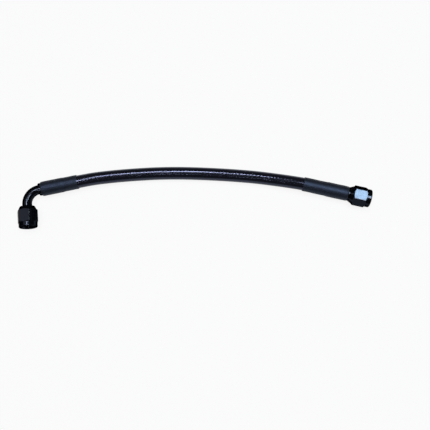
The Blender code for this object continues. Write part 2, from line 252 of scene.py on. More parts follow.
def curve_point(before, start, end, after, share):
    """A point between start and end on the Catmull-Rom curve through four points."""
    linear = end - before
    square = 2 * before - 5 * start + 4 * end - after
    cube = 3 * start - before - 3 * end + after
    return start + 0.5 * share * (linear + share * (square + share * cube))


def route_points():
    """The hose's centreline from collar to collar, in metres, with the ends a gap short of both."""
    rise = FITTING_HEIGHT - HOSE_DIAMETER / 2
    chosen = [Vector((x, y, HOSE_DIAMETER / 2 + lift * rise)) for x, y, lift in ROUTE]
    smooth = []
    for index in range(len(chosen) - 1):
        before = chosen[max(index - 1, 0)]
        after = chosen[min(index + 2, len(chosen) - 1)]
        for step in range(ROUTE_STEPS):
            share = step / ROUTE_STEPS
            smooth.append(curve_point(before, chosen[index], chosen[index + 1], after, share))
    first = chosen[0] + heading_vector(ELBOW_HEADING) * END_GAP
    last = chosen[-1] - heading_vector(STRAIGHT_HEADING) * END_GAP
    return [point * MM for point in [first] + smooth[1:] + [last]]


def add_object(name, data):
    piece = bpy.data.objects.new(name, data)
    bpy.context.scene.collection.objects.link(piece)
    return piece


# Meshes made of rings

def ring_mesh(name, rings, along, edge):
    """A closed skin of quads between rings of points, the last ring joined to the first.

    The UV map "wrap" runs round the piece in U, and in metres along its outline in V. The attribute "edge"
    is 1 on an outer edge and 0 away from it.
    """
    count, sides = rings.shape[:2]
    ring = np.arange(count)[:, None]
    side = np.arange(sides)[None, :]
    next_ring = (ring + 1) % count
    next_side = (side + 1) % sides
    corners = (
        ring * sides + side,
        ring * sides + next_side,
        next_ring * sides + next_side,
        next_ring * sides + side,
    )
    faces = np.stack(corners, axis=-1).reshape(-1, 4)
    mesh = bpy.data.meshes.new(name)
    mesh.from_pydata(rings.reshape(-1, 3).tolist(), [], faces.tolist())
    mesh.shade_smooth()
    round_share = np.broadcast_to(side, (count, sides)).reshape(-1)
    lengths = np.broadcast_to(along.reshape(count, -1), (count, sides)).reshape(-1)
    u = round_share[faces].astype(float)
    u = np.where((u.max(axis=1) - u.min(axis=1) > 1)[:, None] & (u == 0), sides, u) / sides
    v = lengths[faces]
    layer = mesh.uv_layers.new(name="wrap")
    layer.data.foreach_set("uv", np.stack((u, v), axis=-1).reshape(-1))
    stored = mesh.attributes.new("edge", "FLOAT", "POINT")
    stored.data.foreach_set("value", np.broadcast_to(edge.reshape(count, -1), (count, sides)).reshape(-1))
    point_outwards(mesh)
    return mesh


def point_outwards(mesh):
    bm = bmesh.new()
    bm.from_mesh(mesh)
    bmesh.ops.recalc_face_normals(bm, faces=bm.faces[:])
    bm.to_mesh(mesh)
    bm.free()


def eased_outline(corners, radius):
    """A closed outline of (radius, height) corners with each one cut by a short arc.

    Each point comes with 1 where its corner is an outer edge, and 0 where it is an inner one.
    """
    corners = [np.array(corner, dtype=float) for corner in corners]
    following = corners[1:] + corners[:1]
    winding = np.sign(sum(a[0] * b[1] - a[1] * b[0] for a, b in zip(corners, following)))
    points = []
    edge = []
    for index, corner in enumerate(corners):
        before = corners[index - 1] - corner
        after = following[index] - corner
        start = corner + before * min(radius / np.linalg.norm(before), EASING_LIMIT)
        end = corner + after * min(radius / np.linalg.norm(after), EASING_LIMIT)
        turn = after[0] * before[1] - after[1] * before[0]
        for step in range(EASING_STEPS + 1):
            share = step / EASING_STEPS
            points.append((1 - share) ** 2 * start + 2 * share * (1 - share) * corner + share ** 2 * end)
            edge.append(float(turn * winding > 0))
    return points, edge


def filled_outline(points, edge, spacing):
    """The same outline with points added wherever two are further apart than the spacing."""
    filled = []
    filled_edge = []
    for index, point in enumerate(points):
        following = points[(index + 1) % len(points)]
        gap = np.linalg.norm(following - point)
        count = max(1, math.ceil(gap / spacing))
        for step in range(count):
            filled.append(point + (following - point) * step / count)
            filled_edge.append(edge[index] if step == 0 else 0.0)
    return np.array(filled), np.array(filled_edge)


def outline_lengths(outline):
    """How far along the outline each point is, in metres."""
    steps = np.linalg.norm(np.diff(outline, axis=0), axis=1)
    return np.concatenate(([0.0], np.cumsum(steps))) * MM


def turned_rings(radius, height, turns, axis):
    """Points in metres from radius and height arrays (millimetres) and the angle of each side."""
    local = np.stack((radius * np.cos(turns), radius * np.sin(turns), height), axis=-1) * MM
    matrix = np.array(axis)
    return local @ matrix[:3, :3].T + matrix[:3, 3]


def even_turns(sides):
    return np.arange(sides)[None, :] * math.tau / sides


def turned_mesh(name, axis, corners):
    """A piece off the lathe: a closed outline of (radius, height) corners spun round the axis."""
    outline, edge = filled_outline(*eased_outline(corners, EDGE_EASING), OUTLINE_SPACING)
    turns = even_turns(LATHE_SIDES)
    rings = turned_rings(outline[:, :1] + 0 * turns, outline[:, 1:] + 0 * turns, turns, axis)
    return ring_mesh(name, rings, outline_lengths(outline), edge)


# Stems and seats

def stem_corners(shoulder_radius, shoulder_end):
    """Outer side shared by both stems: barbed nipple, lock groove, land and shoulder."""
    pitch = (GROOVE_START - NIPPLE_START) / BARB_COUNT
    corners = []
    for barb in range(BARB_COUNT):
        start = NIPPLE_START + barb * pitch
        corners += [
            (NIPPLE_RADIUS - BARB_DEPTH, start),
            (NIPPLE_RADIUS, start + BARB_CREST[0] * pitch),
            (NIPPLE_RADIUS, start + BARB_CREST[1] * pitch),
        ]
    return corners + [
        (NIPPLE_RADIUS - BARB_DEPTH, GROOVE_START),
        (GROOVE_RADIUS, GROOVE_START),
        (GROOVE_RADIUS, LAND_START),
        (LAND_RADIUS, LAND_START),
        (LAND_RADIUS, SHOULDER_START),
        (shoulder_radius - SHOULDER_CHAMFER, SHOULDER_START),
        (shoulder_radius, SHOULDER_START + SHOULDER_CHAMFER),
        (shoulder_radius, shoulder_end - SHOULDER_CHAMFER),
        (shoulder_radius - SHOULDER_CHAMFER, shoulder_end),
    ]


def nose_corners(base):
    """Outer side and mouth of a seat nose, in a nut whose back face is at the height base."""
    return [
        (NOSE_RADIUS, base + NOSE_START),
        (NOSE_RADIUS, base + NOSE_END - NOSE_EDGE),
        (NOSE_RADIUS - NOSE_EDGE, base + NOSE_END),
        (NOSE_MOUTH_RADIUS, base + NOSE_END),
    ]


def seat_depth(bore_radius):
    return (NOSE_MOUTH_RADIUS - bore_radius) / math.tan(math.radians(SEAT_HALF_ANGLE))


def elbow_stem_mesh(name, axis):
    floor = ELBOW_SHOULDER_END - STEM_SOCKET_DEPTH
    socket_corners = [
        (SOCKET_RADIUS, ELBOW_SHOULDER_END),
        (SOCKET_RADIUS, floor),
        (STEM_BORE_RADIUS, floor),
        (STEM_BORE_RADIUS, NIPPLE_START),
    ]
    outer = stem_corners(ELBOW_SHOULDER_RADIUS, ELBOW_SHOULDER_END)
    return turned_mesh(name, axis, outer + socket_corners)


def straight_stem_mesh(name, axis):
    neck = [
        (TUBE_DIAMETER / 2, STRAIGHT_SHOULDER_END),
        (TUBE_DIAMETER / 2, STRAIGHT_NUT_START + NOSE_START),
    ]
    bore = [
        (STEM_BORE_RADIUS, STRAIGHT_NUT_START + NOSE_END - seat_depth(STEM_BORE_RADIUS)),
        (STEM_BORE_RADIUS, NIPPLE_START),
    ]
    outer = stem_corners(STRAIGHT_SHOULDER_RADIUS, STRAIGHT_SHOULDER_END)
    return turned_mesh(name, axis, outer + neck + nose_corners(STRAIGHT_NUT_START) + bore)


def elbow_seat_mesh(name, nut_axis):
    floor = NOSE_START + NOSE_SOCKET_DEPTH
    socket_corners = [
        (NOSE_BORE_RADIUS, NOSE_END - seat_depth(NOSE_BORE_RADIUS)),
        (NOSE_BORE_RADIUS, floor),
        (SOCKET_RADIUS, floor),
        (SOCKET_RADIUS, NOSE_START),
    ]
    return turned_mesh(name, nut_axis, nose_corners(0.0) + socket_corners)


# Swivel nuts

def hex_turns(per_flat, turned):
    """Angles round a hexagon, closer together towards its corners."""
    share = (1 - np.cos(math.pi * np.arange(per_flat) / per_flat)) / 2
    first_corner = math.radians(30 + turned)
    flats = [first_corner + math.radians(60) * (flat + share) for flat in range(6)]
    return np.concatenate(flats)[None, :]


def hex_radius(turns, turned):
    """Distance from the axis to a hexagon with slightly eased corners."""
    total = np.zeros_like(turns)
    for flat in range(6):
        facing = np.cos(turns - math.radians(60 * flat + turned))
        total += np.clip(facing, 0, None) ** HEX_SHARPNESS
    return NUT_ACROSS_FLATS / 2 / total ** (1 / HEX_SHARPNESS)


def soft_minimum(a, b, width):
    return -width * np.logaddexp(-a / width, -b / width)


def thread_radius(height, turns):
    """Internal thread that runs out at its start."""
    phase = np.mod(height / THREAD_PITCH - turns / math.tau, 1.0)
    groove = np.clip(THREAD_STEEPNESS * (0.5 - np.abs(phase - 0.5)), 0, 1)
    run_out = np.clip((height - NUT_RELIEF_END) / THREAD_RUN_OUT, 0, 1)
    return THREAD_CREST_RADIUS + THREAD_DEPTH * groove * run_out


def nut_corners():
    """Outline of the nut as turned, before its six flats are milled."""
    return [
        (NUT_BACK_RADIUS, 0.0),
        NUT_BACK_RIM,
        (NUT_CORNER_RADIUS, NUT_HEX_START),
        (NUT_CORNER_RADIUS, NUT_HEX_END),
        (NUT_COLLAR_RADIUS, NUT_COLLAR_START),
        (NUT_COLLAR_RADIUS, NUT_LENGTH - NUT_EDGE_CHAMFER),
        (NUT_COLLAR_RADIUS - NUT_EDGE_CHAMFER, NUT_LENGTH),
        (NUT_MOUTH_RADIUS, NUT_LENGTH),
        (THREAD_CREST_RADIUS, NUT_LENGTH - NUT_MOUTH_CHAMFER),
        (THREAD_CREST_RADIUS, NUT_RELIEF_END + THREAD_ENTRY),
        (NUT_RELIEF_RADIUS, NUT_RELIEF_END),
        (NUT_RELIEF_RADIUS, NUT_BACK_WALL),
        (NUT_NECK_BORE, NUT_BACK_WALL),
        (NUT_NECK_BORE, 0.0),
    ]


def milled_edge(edge, radius, flats, outside):
    """Edges of a nut once its flats are milled: the creases round them and the six corners."""
    milled = outside & (radius > flats - MILLED_REACH)
    crease = np.clip(1 - np.abs(radius - flats) / CREASE_WIDTH, 0, 1) * outside
    corner = np.clip((flats - NUT_CORNER_RADIUS + CORNER_WIDTH) / CORNER_FADE, 0, 1) * milled
    return np.maximum(np.where(milled, 0.0, edge), np.maximum(crease, corner))


def nut_mesh(name, axis, turned):
    """A turned blank with six milled flats outside and a thread inside."""
    outline, edge = filled_outline(*eased_outline(nut_corners(), EDGE_EASING), NUT_OUTLINE_SPACING)
    turns = hex_turns(SIDES_PER_FLAT, turned)
    radius = outline[:, :1] + 0 * turns
    height = outline[:, 1:] + 0 * turns
    flats = hex_radius(turns, turned) + 0 * radius
    outside = (radius > NUT_WALL_MIDDLE) & (height > NUT_FACE_MARGIN)
    outside = outside & (height < NUT_COLLAR_START - NUT_COLLAR_MARGIN)
    inside = (radius < NUT_MOUTH_RADIUS + NUT_MOUTH_MARGIN) & (height > NUT_RELIEF_END)
    inside = inside & (height < NUT_LENGTH - NUT_FACE_MARGIN)
    edge = milled_edge(edge[:, None] + 0 * turns, radius, flats, outside)
    radius = np.where(outside, soft_minimum(radius, flats, MILLED_BLEND), radius)
    radius = np.where(inside, np.maximum(radius, thread_radius(height, turns)), radius)
    rings = turned_rings(radius, height, turns, axis)
    return ring_mesh(name, rings, outline_lengths(outline), edge)


# Shrunk sleeves

def sleeve_mesh(name, axis, on_hose, seed):
    """Shrunk tube that shows the crimped collar under it and its own slight unevenness."""
    turns = even_turns(LATHE_SIDES)
    height = np.linspace(-on_hose, COLLAR_LENGTH, SLEEVE_RINGS)[:, None] + 0 * turns
    step = np.clip((height + SLEEVE_STEP + END_GAP) / SLEEVE_STEP, 0, 1)
    step = step * step * (3 - 2 * step)
    plain = SLEEVE_OVER_HOSE + (SLEEVE_OVER_COLLAR - SLEEVE_OVER_HOSE) * step
    lip = SLEEVE_LIP_DEPTH * np.exp((height - COLLAR_LENGTH) / SLEEVE_LIP_LENGTH)
    outer = plain + sleeve_lumps(height, turns, seed) - crimp_marks(height, turns) - lip
    inner = plain - SLEEVE_WALL
    far_end = (outer[-1:] + inner[-1:]) / 2
    near_end = (outer[:1] + inner[:1]) / 2
    far_height = height[-1:] + SLEEVE_END_ROUNDING
    near_height = height[:1] - SLEEVE_END_ROUNDING
    radius = np.concatenate((outer, far_end, inner[::-1], near_end))
    loop_height = np.concatenate((height, far_height, height[::-1], near_height))
    edge = np.zeros(len(radius))
    edge[[0, SLEEVE_RINGS - 1, SLEEVE_RINGS, -1]] = 1.0
    middle = np.stack((radius.mean(axis=1), loop_height[:, 0]), axis=-1)
    rings = turned_rings(radius, loop_height, turns, axis)
    return ring_mesh(name, rings, outline_lengths(middle), edge)


def crimp_marks(height, turns):
    """Shallow dents where the crimping jaws squeezed the collar."""
    fade_in = np.clip((height - CRIMP_START) / CRIMP_FADE, 0, 1)
    fade_out = np.clip((CRIMP_END - height) / CRIMP_FADE, 0, 1)
    return CRIMP_MARK * fade_in * fade_out * (1 + np.cos(CRIMP_JAWS * turns))


def sleeve_lumps(height, turns, seed):
    """A few long waves of a shrunk tube that isn't quite round."""
    rng = np.random.default_rng(seed)
    lumps = 0 * height
    for size in SLEEVE_LUMPS:
        around = rng.integers(*LUMPS_ROUND)
        length = rng.uniform(*LUMP_LENGTHS)
        phase = rng.uniform(0, math.tau, 2)
        round_wave = np.sin(around * turns + phase[0])
        long_wave = np.sin(math.tau * height / length + phase[1])
        lumps = lumps + size * round_wave * long_wave
    return lumps


# Bent tube

def tube_path():
    """Sideways and along, from the stem's socket to the seat's."""
    path = [(0.0, TUBE_START), (0.0, BEND_START - TUBE_LEAD_IN)]
    bend = math.radians(BEND_ANGLE)
    for turn in np.linspace(0, bend, BEND_STEPS):
        path.append((BEND_RADIUS * (math.cos(turn) - 1), BEND_START + BEND_RADIUS * math.sin(turn)))
    across, along = path[-1]
    path.append((across - math.sin(bend) * TUBE_PAST_BEND, along + math.cos(bend) * TUBE_PAST_BEND))
    return np.array(path)


def bent_tube_mesh(name, axis):
    """The tube between stem and seat, with its bore."""
    path = tube_path()
    tangent = np.gradient(path, axis=0)
    tangent = tangent / np.linalg.norm(tangent, axis=1)[:, None]
    sideways = np.stack((tangent[:, 1], -tangent[:, 0]), axis=-1)
    turns = even_turns(TUBE_SIDES)
    shells = []
    for radius in (TUBE_DIAMETER / 2, TUBE_BORE / 2):
        up = radius * np.cos(turns) + 0 * path[:, :1]
        out = radius * np.sin(turns)
        across = path[:, :1] + sideways[:, :1] * out
        along = path[:, 1:] + sideways[:, 1:] * out
        shells.append(np.stack((up, across, along), axis=-1))
    matrix = np.array(axis)
    rings = np.concatenate((shells[0], shells[1][::-1])) * MM
    rings = rings @ matrix[:3, :3].T + matrix[:3, 3]
    lengths = outline_lengths(path)
    edge = np.zeros(len(rings))
    edge[[0, len(path) - 1]] = 1.0
    mesh = ring_mesh(name, rings, np.concatenate((lengths, lengths[::-1])), edge)
    mesh.set_sharp_from_angle(angle=math.radians(TUBE_SHARP_ANGLE))
    return mesh


# Node trees

def socket(tree, name, in_out, default=None, kind="NodeSocketFloat"):
    made = tree.interface.new_socket(name=name, in_out=in_out, socket_type=kind)
    if default is not None:
        made.default_value = default


def math_node(tree, operation, *values):
    """A Math node whose inputs are numbers or other nodes' outputs."""
    node = tree.nodes.new("ShaderNodeMath")
    node.operation = operation
    fill_inputs(tree, node, enumerate(values))
    return node.outputs[0]


def fill_inputs(tree, node, values):
    for key, value in values:
        if isinstance(value, bpy.types.NodeSocket):
            tree.links.new(value, node.inputs[key])
        else:
            node.inputs[key].default_value = value


def noise(tree, vector, scale, detail=2.0, roughness=0.5):
    node = tree.nodes.new("ShaderNodeTexNoise")
    values = {"Vector": vector, "Scale": scale, "Detail": detail, "Roughness": roughness}
    fill_inputs(tree, node, values.items())
    return node.outputs["Fac"]


def spread(tree, value, low, high, to_low, to_high):
    """Map Range: value from low..high to to_low..to_high, held at both ends."""
    node = tree.nodes.new("ShaderNodeMapRange")
    values = (value, low, high, to_low, to_high)
    fill_inputs(tree, node, enumerate(values))
    return node.outputs[0]


def joined_vector(tree, x, y, z):
    node = tree.nodes.new("ShaderNodeCombineXYZ")
    fill_inputs(tree, node, enumerate((x, y, z)))
    return node.outputs[0]


def strand_height(tree, own, crossing, side):
    """Height of one family of strands: rounded across itself, rising and dipping as it is crossed."""
    across = math_node(tree, "SUBTRACT", math_node(tree, "FRACT", own), 0.5)
    squared = math_node(tree, "MULTIPLY", across, across)
    crown = math_node(tree, "MULTIPLY", squared, -STRAND_CROWN)
    parity = math_node(tree, "SIGN", half_wave(tree, own))
    weave = math_node(tree, "MULTIPLY", parity, half_wave(tree, crossing))
    return math_node(tree, "ADD", crown, math_node(tree, "MULTIPLY", weave, WEAVE_LIFT * side))


def half_wave(tree, count):
    """A sine that changes sign at every whole count."""
    return math_node(tree, "SINE", math_node(tree, "MULTIPLY", count, math.pi))


def strand_counts(tree, around, along, strands, advance):
    """Number of each strand at a point, as two growing values whose whole steps are strands."""
    turns = math_node(tree, "MULTIPLY", around, strands)
    travel = math_node(tree, "DIVIDE", along, advance)
    one_way = math_node(tree, "ADD", math_node(tree, "ADD", turns, travel), FIRST_STRAND)
    other_way = math_node(tree, "ADD", math_node(tree, "SUBTRACT", turns, travel), FIRST_STRAND)
    return one_way, other_way


# Braided hose cover

def braided_cover_tree():
    """Geometry Nodes tree that sweeps a braided skin along a curve."""
    tree = bpy.data.node_groups.new("braided_cover", "GeometryNodeTree")
    socket(tree, "Geometry", "INPUT", kind="NodeSocketGeometry")
    socket(tree, "Radius", "INPUT", 0.005)
    socket(tree, "Strands", "INPUT", 12.0)
    socket(tree, "Advance", "INPUT", 0.0027)
    socket(tree, "Relief", "INPUT", 0.0001)
    socket(tree, "Rings", "INPUT", 600, "NodeSocketInt")
    socket(tree, "Sides", "INPUT", 120, "NodeSocketInt")
    socket(tree, "Material", "INPUT", kind="NodeSocketMaterial")
    socket(tree, "Geometry", "OUTPUT", kind="NodeSocketGeometry")
    inputs = tree.nodes.new("NodeGroupInput").outputs
    skin, around, along = swept_skin(tree, inputs)
    braided = raised_strands(tree, inputs, skin, around, along)
    finish = tree.nodes.new("GeometryNodeSetMaterial")
    tree.links.new(braided, finish.inputs["Geometry"])
    tree.links.new(inputs["Material"], finish.inputs["Material"])
    outputs = tree.nodes.new("NodeGroupOutput")
    tree.links.new(finish.outputs["Geometry"], outputs.inputs["Geometry"])
    return tree


def swept_skin(tree, inputs):
    """A plain tube along the curve, with how far round it and along it each point is."""
    nodes, link = tree.nodes, tree.links.new
    normal = nodes.new("GeometryNodeSetCurveNormal")
    normal.mode = "Z_UP"
    link(inputs["Geometry"], normal.inputs["Curve"])
    resample = nodes.new("GeometryNodeResampleCurve")
    link(normal.outputs["Curve"], resample.inputs["Curve"])
    link(inputs["Rings"], resample.inputs["Count"])
    along, route = captured_parameter(tree, resample.outputs["Curve"], "Length")
    circle = nodes.new("GeometryNodeCurvePrimitiveCircle")
    link(inputs["Sides"], circle.inputs["Resolution"])
    link(inputs["Radius"], circle.inputs["Radius"])
    around, profile = captured_parameter(tree, circle.outputs["Curve"], "Factor")
    sweep = nodes.new("GeometryNodeCurveToMesh")
    link(route, sweep.inputs["Curve"])
    link(profile, sweep.inputs["Profile Curve"])
    return sweep.outputs["Mesh"], around, along


def raised_strands(tree, inputs, skin, around, along):
    """The skin pressed in between its strands, whose crests stay at the full radius."""
    nodes, link = tree.nodes, tree.links.new
    one_way, other_way = strand_counts(tree, around, along, inputs["Strands"], inputs["Advance"])
    left = strand_height(tree, one_way, other_way, 1)
    right = strand_height(tree, other_way, one_way, -1)
    top = math_node(tree, "SMOOTH_MAX", left, right, CROSSING_BLEND)
    below = math_node(tree, "SUBTRACT", top, WEAVE_LIFT)
    facing = nodes.new("GeometryNodeInputNormal")
    offset = nodes.new("ShaderNodeVectorMath")
    offset.operation = "SCALE"
    link(facing.outputs["Normal"], offset.inputs[0])
    link(math_node(tree, "MULTIPLY", below, inputs["Relief"]), offset.inputs["Scale"])
    raised = nodes.new("GeometryNodeSetPosition")
    link(skin, raised.inputs["Geometry"])
    link(offset.outputs["Vector"], raised.inputs["Offset"])
    realize = nodes.new("GeometryNodeRealizeInstances")
    link(raised.outputs["Geometry"], realize.inputs["Geometry"])
    return realize.outputs["Geometry"]


def captured_parameter(tree, geometry, output):
    parameter = tree.nodes.new("GeometryNodeSplineParameter")
    capture = tree.nodes.new("GeometryNodeCaptureAttribute")
    capture.capture_items.new("FLOAT", output)
    tree.links.new(geometry, capture.inputs["Geometry"])
    tree.links.new(parameter.outputs[output], capture.inputs[output])
    return capture.outputs[output], capture.outputs["Geometry"]


def run_tree(name, curve, tree, values):
    """Evaluate a tree on a curve and return the plain mesh."""
    carrier = add_object(name + "_guide", curve)
    modifier = carrier.modifiers.new("tree", "NODES")
    modifier.node_group = tree
    for item in tree.interface.items_tree:
        if item.item_type == "SOCKET" and item.in_out == "INPUT" and item.name in values:
            modifier[item.identifier] = values[item.name]
    evaluated = carrier.evaluated_get(bpy.context.evaluated_depsgraph_get())
    mesh = bpy.data.meshes.new_from_object(evaluated)
    mesh.name = name
    carrier.modifiers.clear()
    bpy.data.objects.remove(carrier, do_unlink=True)
    return mesh


def hose_curve(points):
    curve = bpy.data.curves.new("hose_route", "CURVE")
    curve.dimensions = "3D"
    spline = curve.splines.new("POLY")
    spline.points.add(len(points) - 1)
    for spot, point in zip(spline.points, points):
        spot.co = (*point, 1.0)
    return curve


def hose_cover_mesh(name, points, length, material):
    """The braided skin, closed into a tube wall by end rings and a smooth bore."""
    values = {
        "Radius": HOSE_DIAMETER / 2 * MM,
        "Strands": float(STRANDS_EACH_WAY),
        "Advance": STRAND_ADVANCE * MM,
        "Relief": BRAID_RELIEF * MM,
        "Rings": HOSE_RINGS,
        "Sides": HOSE_SIDES,
        "Material": material,
    }
    skin = run_tree("hose_skin", hose_curve(points), braided_cover_tree(), values)
    outer = np.empty(len(skin.vertices) * 3)
    skin.vertices.foreach_get("co", outer)
    outer = outer.reshape(-1, HOSE_SIDES, 3)
    bpy.data.meshes.remove(skin)
    shares = np.linspace(0, len(outer) - 1, BORE_RINGS).round().astype(int)
    centres = outer.mean(axis=1, keepdims=True)
    spokes = outer - centres
    spokes = spokes / np.linalg.norm(spokes, axis=2, keepdims=True)
    bore = (centres + spokes * (HOSE_DIAMETER / 2 - COVER_WALL) * MM)[shares]
    along = np.concatenate((np.arange(len(outer)), shares[::-1])) / (len(outer) - 1) * length
    return ring_mesh(name, np.concatenate((outer, bore[::-1])), along, np.zeros(len(along)))


# Effects that several finishes share

def shader_group(name, inputs, outputs):
    """A new shader node group, with its input sockets and its output node's inputs."""
    tree = bpy.data.node_groups.new(name, "ShaderNodeTree")
    for label, default in inputs.items():
        kind = "NodeSocketVector" if isinstance(default, tuple) else "NodeSocketFloat"
        socket(tree, label, "INPUT", default, kind)
    for label in outputs:
        socket(tree, label, "OUTPUT")
    given = tree.nodes.new("NodeGroupInput").outputs
    result = tree.nodes.new("NodeGroupOutput").inputs
    return tree, given, result


def fine_grain_group():
    """Close grain, and slow clouds of the same surface being touched more here than there."""
    inputs = {"Vector": (0.0, 0.0, 0.0), "Grain per Metre": 9000.0, "Clouds per Metre": 150.0}
    tree, given, result = shader_group("fine_grain", inputs, ("Grain", "Clouds"))
    tree.links.new(noise(tree, given["Vector"], given["Grain per Metre"], 2.0), result["Grain"])
    clouds = noise(tree, given["Vector"], given["Clouds per Metre"], 4.0, 0.6)
    tree.links.new(spread(tree, clouds, *CLOUD_RANGE, 0.0, 1.0), result["Clouds"])
    return tree


def rubbed_edges_group():
    """Where a finish is rubbed thin: on outer edges, in broken stretches."""
    inputs = {"Vector": (0.0, 0.0, 0.0), "Edge": 0.0, "Patches per Metre": 500.0, "Rub": 0.5}
    tree, given, result = shader_group("rubbed_edges", inputs, ("Rubbed",))
    patches = noise(tree, given["Vector"], given["Patches per Metre"], 3.0, 0.6)
    reach = math_node(tree, "ADD", patches, math_node(tree, "SUBTRACT", given["Rub"], 1.0))
    broken = spread(tree, reach, 0.0, RUB_FADE, 0.0, 1.0)
    tree.links.new(math_node(tree, "MULTIPLY", given["Edge"], broken), result["Rubbed"])
    return tree


def tool_marks_group():
    """Fine rings left by the lathe, at uneven depth along the outline of a turned piece."""
    inputs = {"Along": 0.0, "Marks per Metre": 9000.0}
    tree, given, result = shader_group("tool_marks", inputs, ("Depth",))
    place = math_node(tree, "MULTIPLY", given["Along"], given["Marks per Metre"])
    tree.links.new(noise(tree, joined_vector(tree, place, 0.0, 0.0), 1.0, 1.0), result["Depth"])
    return tree


def drawn_lines_group():
    """Faint lines along a piece that was drawn or extruded, without a seam round it."""
    inputs = {"Around": 0.0, "Along": 0.0, "Lines Round": 14.0, "Breaks per Metre": 60.0}
    tree, given, result = shader_group("drawn_lines", inputs, ("Depth",))
    turn = math_node(tree, "MULTIPLY", given["Around"], math.tau)
    x = math_node(tree, "MULTIPLY", math_node(tree, "COSINE", turn), given["Lines Round"])
    y = math_node(tree, "MULTIPLY", math_node(tree, "SINE", turn), given["Lines Round"])
    z = math_node(tree, "MULTIPLY", given["Along"], given["Breaks per Metre"])
    tree.links.new(noise(tree, joined_vector(tree, x, y, z), 1.0, 2.0), result["Depth"])
    return tree


def wire_lay_group():
    """Braid of flat strands, each of several wires side by side."""
    inputs = {
        "Around": 0.0,
        "Along": 0.0,
        "Strands": float(STRANDS_EACH_WAY),
        "Advance": STRAND_ADVANCE * MM,
        "Wires": float(WIRES_PER_STRAND),
    }
    tree, given, result = shader_group("wire_lay", inputs, ("Height", "Valley"))
    around, along, strands, advance, wires = [given[label] for label in inputs]
    one_way, other_way = strand_counts(tree, around, along, strands, advance)
    left = strand_height(tree, one_way, other_way, 1)
    right = strand_height(tree, other_way, one_way, -1)
    on_top = math_node(tree, "GREATER_THAN", left, right)
    below = math_node(tree, "SUBTRACT", 1.0, on_top)
    own_left = math_node(tree, "MULTIPLY", on_top, one_way)
    own_right = math_node(tree, "MULTIPLY", below, other_way)
    own = math_node(tree, "ADD", own_left, own_right)
    wire_count = math_node(tree, "MULTIPLY", own, wires)
    tree.links.new(math_node(tree, "ABSOLUTE", half_wave(tree, wire_count)), result["Height"])
    top = math_node(tree, "MAXIMUM", left, right)
    # Valley is 1 where the braid dips between strands; the finishes paint shade with it, and the cover
    # also gets rougher there
    tree.links.new(spread(tree, top, VALLEY_FLOOR, VALLEY_RIM, 1.0, 0.0), result["Valley"])
    return tree


# Finishes

class Finish:
    """A material, with the shared effects that feed its shader."""

    def __init__(self, name, **constants):
        self.material = bpy.data.materials.new(name)
        self.material.use_nodes = True
        self.tree = self.material.node_tree
        self.shader = self.tree.nodes["Principled BSDF"]
        for label, value in constants.items():
            self.shader.inputs[label.replace("_", " ")].default_value = value
        self.place = self.tree.nodes.new("ShaderNodeTexCoord").outputs["Object"]

    def effect(self, group, **values):
        """Place a shared effect with this finish's own values and return its outputs."""
        node = self.tree.nodes.new("ShaderNodeGroup")
        node.node_tree = EFFECTS[group]
        named = [(label.replace("_", " "), value) for label, value in values.items()]
        fill_inputs(self.tree, node, named)
        return node.outputs

    def grain(self, per_metre, clouds_per_metre):
        rates = {"Grain_per_Metre": per_metre, "Clouds_per_Metre": clouds_per_metre}
        return self.effect("fine_grain", Vector=self.place, **rates)

    def rubbed(self, amount):
        return self.effect("rubbed_edges", Vector=self.place, Edge=self.edge(), Rub=amount)["Rubbed"]

    def wrap(self):
        """How far round the piece and how far along it, from its UV map."""
        node = self.tree.nodes.new("ShaderNodeUVMap")
        node.uv_map = "wrap"
        parts = self.tree.nodes.new("ShaderNodeSeparateXYZ")
        self.tree.links.new(node.outputs[0], parts.inputs[0])
        return parts.outputs[0], parts.outputs[1]

    def place_parts(self):
        parts = self.tree.nodes.new("ShaderNodeSeparateXYZ")
        self.tree.links.new(self.place, parts.inputs[0])
        return parts.outputs

    def place_wrap(self, turns_per_metre):
        """Like wrap, for a node along X that keeps its own mesh and has no UV map."""
        x, y, z = self.place_parts()
        across = math_node(self.tree, "ADD", y, z)
        return math_node(self.tree, "MULTIPLY", across, turns_per_metre), x

    def edge(self):
        node = self.tree.nodes.new("ShaderNodeAttribute")
        node.attribute_name = "edge"
        return node.outputs["Fac"]

    def feed(self, label, value):
        self.tree.links.new(value, self.shader.inputs[label])

    def colour(self, share, pair, elsewhere=0.0, other=None):
        """Base colour between a pair by share, and another colour where elsewhere is 1."""
        base = self.mix(share, *pair)
        if other:
            base = self.mix(elsewhere, base, other)
        self.feed("Base Color", base)

    def roughen(self, share, low, high, elsewhere=0.0, more=0.0):
        """Roughness from low to high by share, and more of it where elsewhere is 1."""
        rough = spread(self.tree, share, 0.0, 1.0, low, high)
        if more:
            rough = math_node(self.tree, "MULTIPLY_ADD", elsewhere, more, rough)
        self.feed("Roughness", rough)

    def mix(self, share, low, high):
        node = self.tree.nodes.new("ShaderNodeMix")
        node.data_type = "RGBA"
        fill_inputs(self.tree, node, ((0, share), (6, low), (7, high)))
        return node.outputs[2]

    def relief(self, *layers):
        """Bump nodes one after the other, each a height and how many microns deep it is."""
        normal = None
        for height, depth in layers:
            bump = self.tree.nodes.new("ShaderNodeBump")
            bump.inputs["Distance"].default_value = depth * MICRON
            self.tree.links.new(height, bump.inputs["Height"])
            if normal:
                self.tree.links.new(normal, bump.inputs["Normal"])
            normal = bump.outputs["Normal"]
        self.feed("Normal", normal)


